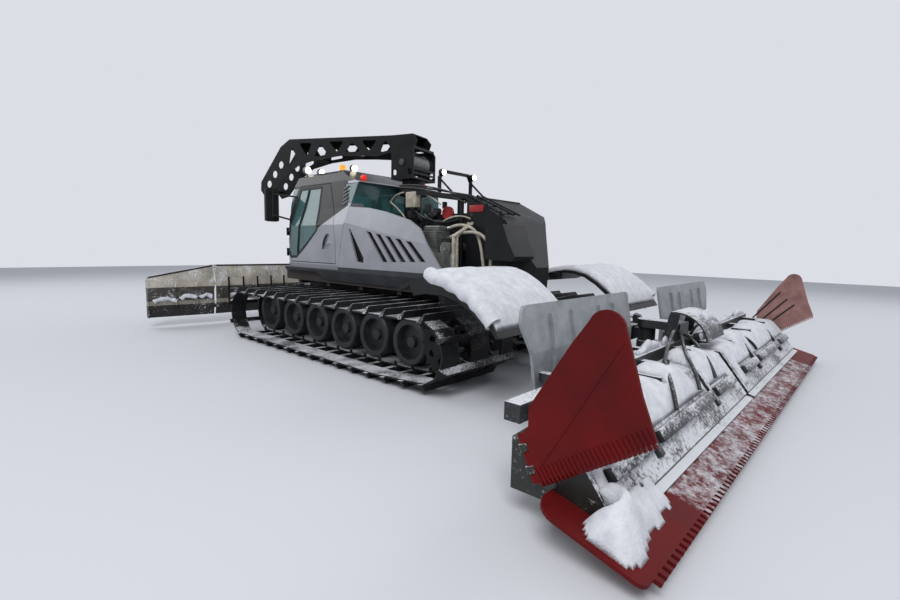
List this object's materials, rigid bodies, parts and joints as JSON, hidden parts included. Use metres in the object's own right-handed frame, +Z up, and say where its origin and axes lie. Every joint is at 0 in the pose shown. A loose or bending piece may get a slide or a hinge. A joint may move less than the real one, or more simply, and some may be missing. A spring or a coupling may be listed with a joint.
{
  "type": "tracked snow groomer",
  "caption": "Tracked snow groomer with cab, folding front blade, slewing traction winch with a lattice boom, open engine bay and a rear tiller with folded side finishers.",
  "frame": {"origin": "on the ground, under the middle of the whole machine with its implements", "axes": "+Z up, the machine drives towards -Y, +X is its left side"},
  "size_m": [6.98, 9.6492, 3.6207],
  "materials": {
    "chassis_paint": "semi-gloss black paint",
    "running_gear_steel": "matte black paint",
    "track_rubber": "matte rubber and dark steel bars",
    "wheel_grey": "worn grey rims with rubber rims",
    "deck_brown": "dirty brown-black",
    "skirt_grey": "dark grey paint",
    "cab_silver": "silver-grey metallic paint",
    "roof_black": "gloss black paint",
    "tinted_glass": "teal tint",
    "interior_black": "matte dark plastic and cloth",
    "door_silver": "silver lower part, black window frame",
    "mirror_black": "matte black",
    "lamp_white": "clear lamp lenses in dark cases",
    "panel_silver": "silver-grey metallic paint",
    "engine_dark": "dark painted castings",
    "engine_grey": "dull castings",
    "hose_beige": "beige-grey sleeves",
    "frame_black": "matte black paint",
    "fender_dark": "dark plastic under snow",
    "winch_black": "satin black paint",
    "drum_steel": "dark steel",
    "blade_cream": "cream paint, worn and crusted",
    "cylinder_black": "satin black paint",
    "rod_chrome": "polished",
    "tiller_black": "dark grey paint",
    "hood_dark": "dark olive sheet",
    "finisher_red": "dark red flexible sheet",
    "rotor_steel": "worn dark steel",
    "side_red": "dark red plastic",
    "deflector_grey": "grey sheet"
  },
  "bodies": {
    "machine": {"chassis_tub": "chassis_paint", "axle_beams": "running_gear_steel", "track_left": "track_rubber", "track_right": "track_rubber", "wheels_left": "wheel_grey", "wheels_right": "wheel_grey", "sprockets": "running_gear_steel", "deck": "deck_brown", "deck_skirts": "skirt_grey", "cab_shell": "cab_silver", "cab_roof": "roof_black", "windshield": "tinted_glass", "cab_rear_glass": "tinted_glass", "cab_interior": "interior_black", "mirrors": "mirror_black", "roof_lights": "lamp_white", "side_panel_left": "panel_silver", "side_panel_right": "panel_silver", "engine": "engine_dark", "engine_dressing": "engine_grey", "hoses": "hose_beige", "bay_frame": "frame_black", "rear_cover": "frame_black", "light_arch": "frame_black", "fenders": "fender_dark", "winch_post": "winch_black"},
    "winch": {"winch_tower": "winch_black", "winch_boom": "winch_black"},
    "winch_reel": {"winch_drum": "drum_steel"},
    "door_l": {"door_left": "door_silver", "door_glass_left": "tinted_glass"},
    "door_r": {"door_right": "door_silver", "door_glass_right": "tinted_glass"},
    "push_frame": {"blade_frame": "chassis_paint"},
    "blade_yoke": {"blade_carrier": "chassis_paint"},
    "front_blade": {"blade": "blade_cream"},
    "wing_l": {"blade_wing_left": "blade_cream"},
    "wing_r": {"blade_wing_right": "blade_cream"},
    "blade_barrels": {"blade_cylinders": "cylinder_black"},
    "blade_ram_rods": {"blade_rods": "rod_chrome"},
    "lift_arm": {"tiller_arm": "tiller_black"},
    "tiller_barrels": {"tiller_cylinders": "cylinder_black"},
    "tiller_ram_rods": {"tiller_rods": "rod_chrome"},
    "tiller": {"tiller_frame": "tiller_black", "tiller_hoods": "hood_dark", "finisher": "finisher_red", "deflector_plates": "deflector_grey"},
    "rotor_l": {"rotor_left": "rotor_steel"},
    "rotor_r": {"rotor_right": "rotor_steel"},
    "side_l": {"side_finisher_left": "side_red"},
    "side_r": {"side_finisher_right": "side_red"}
  },
  "joints": [
    {"name": "winch_slew", "type": "hinge", "parent": "machine", "child": "winch", "pos_m": [0, -0.52335, 2.6], "axis": [0, 0, 1], "range_deg": [-180, 180]},
    {"name": "winch_drum_spin", "type": "hinge", "parent": "winch", "child": "winch_reel", "pos_m": [0, -0.52335, 2.99], "axis": [-0.9781, -0.2079, 0], "continuous": true},
    {"name": "door_left_swing", "type": "hinge", "parent": "machine", "child": "door_l", "pos_m": [1.118, -2.68535, 1.9], "axis": [0, 0, -1], "range_deg": [0, 70]},
    {"name": "door_right_swing", "type": "hinge", "parent": "machine", "child": "door_r", "pos_m": [-1.118, -2.68535, 1.9], "axis": [0, 0, 1], "range_deg": [0, 70]},
    {"name": "blade_lift", "type": "hinge", "parent": "machine", "child": "push_frame", "pos_m": [0, -2.75335, 0.62], "axis": [-1, 0, 0], "range_deg": [-5, 20]},
    {"name": "blade_swing", "type": "hinge", "parent": "push_frame", "child": "blade_yoke", "pos_m": [0, -4.14335, 0.56], "axis": [0, 0, 1], "range_deg": [-25, 25]},
    {"name": "blade_tilt", "type": "hinge", "parent": "blade_yoke", "child": "front_blade", "pos_m": [0, -4.14335, 0.56], "axis": [0, 1, 0], "range_deg": [-5, 5]},
    {"name": "wing_left_swing", "type": "hinge", "parent": "front_blade", "child": "wing_l", "pos_m": [1.714, -4.58335, 0.7], "axis": [0, 0, -1], "range_deg": [-8, 45]},
    {"name": "wing_right_swing", "type": "hinge", "parent": "front_blade", "child": "wing_r", "pos_m": [-1.714, -4.58335, 0.7], "axis": [0, 0, 1], "range_deg": [-8, 45]},
    {"name": "blade_barrel_hinge", "type": "hinge", "parent": "machine", "child": "blade_barrels", "pos_m": [0, -2.77335, 0.93], "axis": [-1, 0, 0], "range_deg": [-5.2, 20.4]},
    {"name": "blade_rod_slide", "type": "slide", "parent": "blade_barrels", "child": "blade_ram_rods", "axis": [0, -0.9843, -0.1767], "range_m": [-0.112, 0.03]},
    {"name": "tiller_lift", "type": "hinge", "parent": "machine", "child": "lift_arm", "pos_m": [0, 1.97665, 0.64], "axis": [1, 0, 0], "range_deg": [0, 30]},
    {"name": "tiller_swing", "type": "hinge", "parent": "lift_arm", "child": "tiller", "pos_m": [0, 3.47665, 0.69], "axis": [0, 0, 1], "range_deg": [-11, 11]},
    {"name": "tiller_barrel_hinge", "type": "hinge", "parent": "machine", "child": "tiller_barrels", "pos_m": [0, 1.99665, 0.93], "axis": [1, 0, 0], "range_deg": [-0.5, 32]},
    {"name": "tiller_rod_slide", "type": "slide", "parent": "tiller_barrels", "child": "tiller_ram_rods", "axis": [0, 0.9975, -0.0701], "range_m": [-0.15, 0.002]},
    {"name": "rotor_left_spin", "type": "hinge", "parent": "tiller", "child": "rotor_l", "pos_m": [1.5, 4.13665, 0.3], "axis": [1, 0, 0], "continuous": true},
    {"name": "rotor_right_spin", "type": "hinge", "parent": "tiller", "child": "rotor_r", "pos_m": [-1.5, 4.13665, 0.3], "axis": [1, 0, 0], "continuous": true},
    {"name": "side_left_fold", "type": "hinge", "parent": "tiller", "child": "side_l", "pos_m": [3.3, 3.94665, 0.55], "axis": [0, 0.4067, -0.9135], "range_deg": [0, 90]},
    {"name": "side_right_fold", "type": "hinge", "parent": "tiller", "child": "side_r", "pos_m": [-3.3, 3.94665, 0.55], "axis": [0, -0.4067, 0.9135], "range_deg": [0, 90]}
  ],
  "couplings": [
    {"joint": "blade_barrel_hinge", "follows": "blade_lift", "ratio": 1.0049},
    {"joint": "blade_rod_slide", "follows": "blade_lift", "m_per_rad": -0.30814},
    {"joint": "tiller_barrel_hinge", "follows": "tiller_lift", "ratio": 1.0528},
    {"joint": "tiller_rod_slide", "follows": "tiller_lift", "m_per_rad": -0.27983}
  ]
}
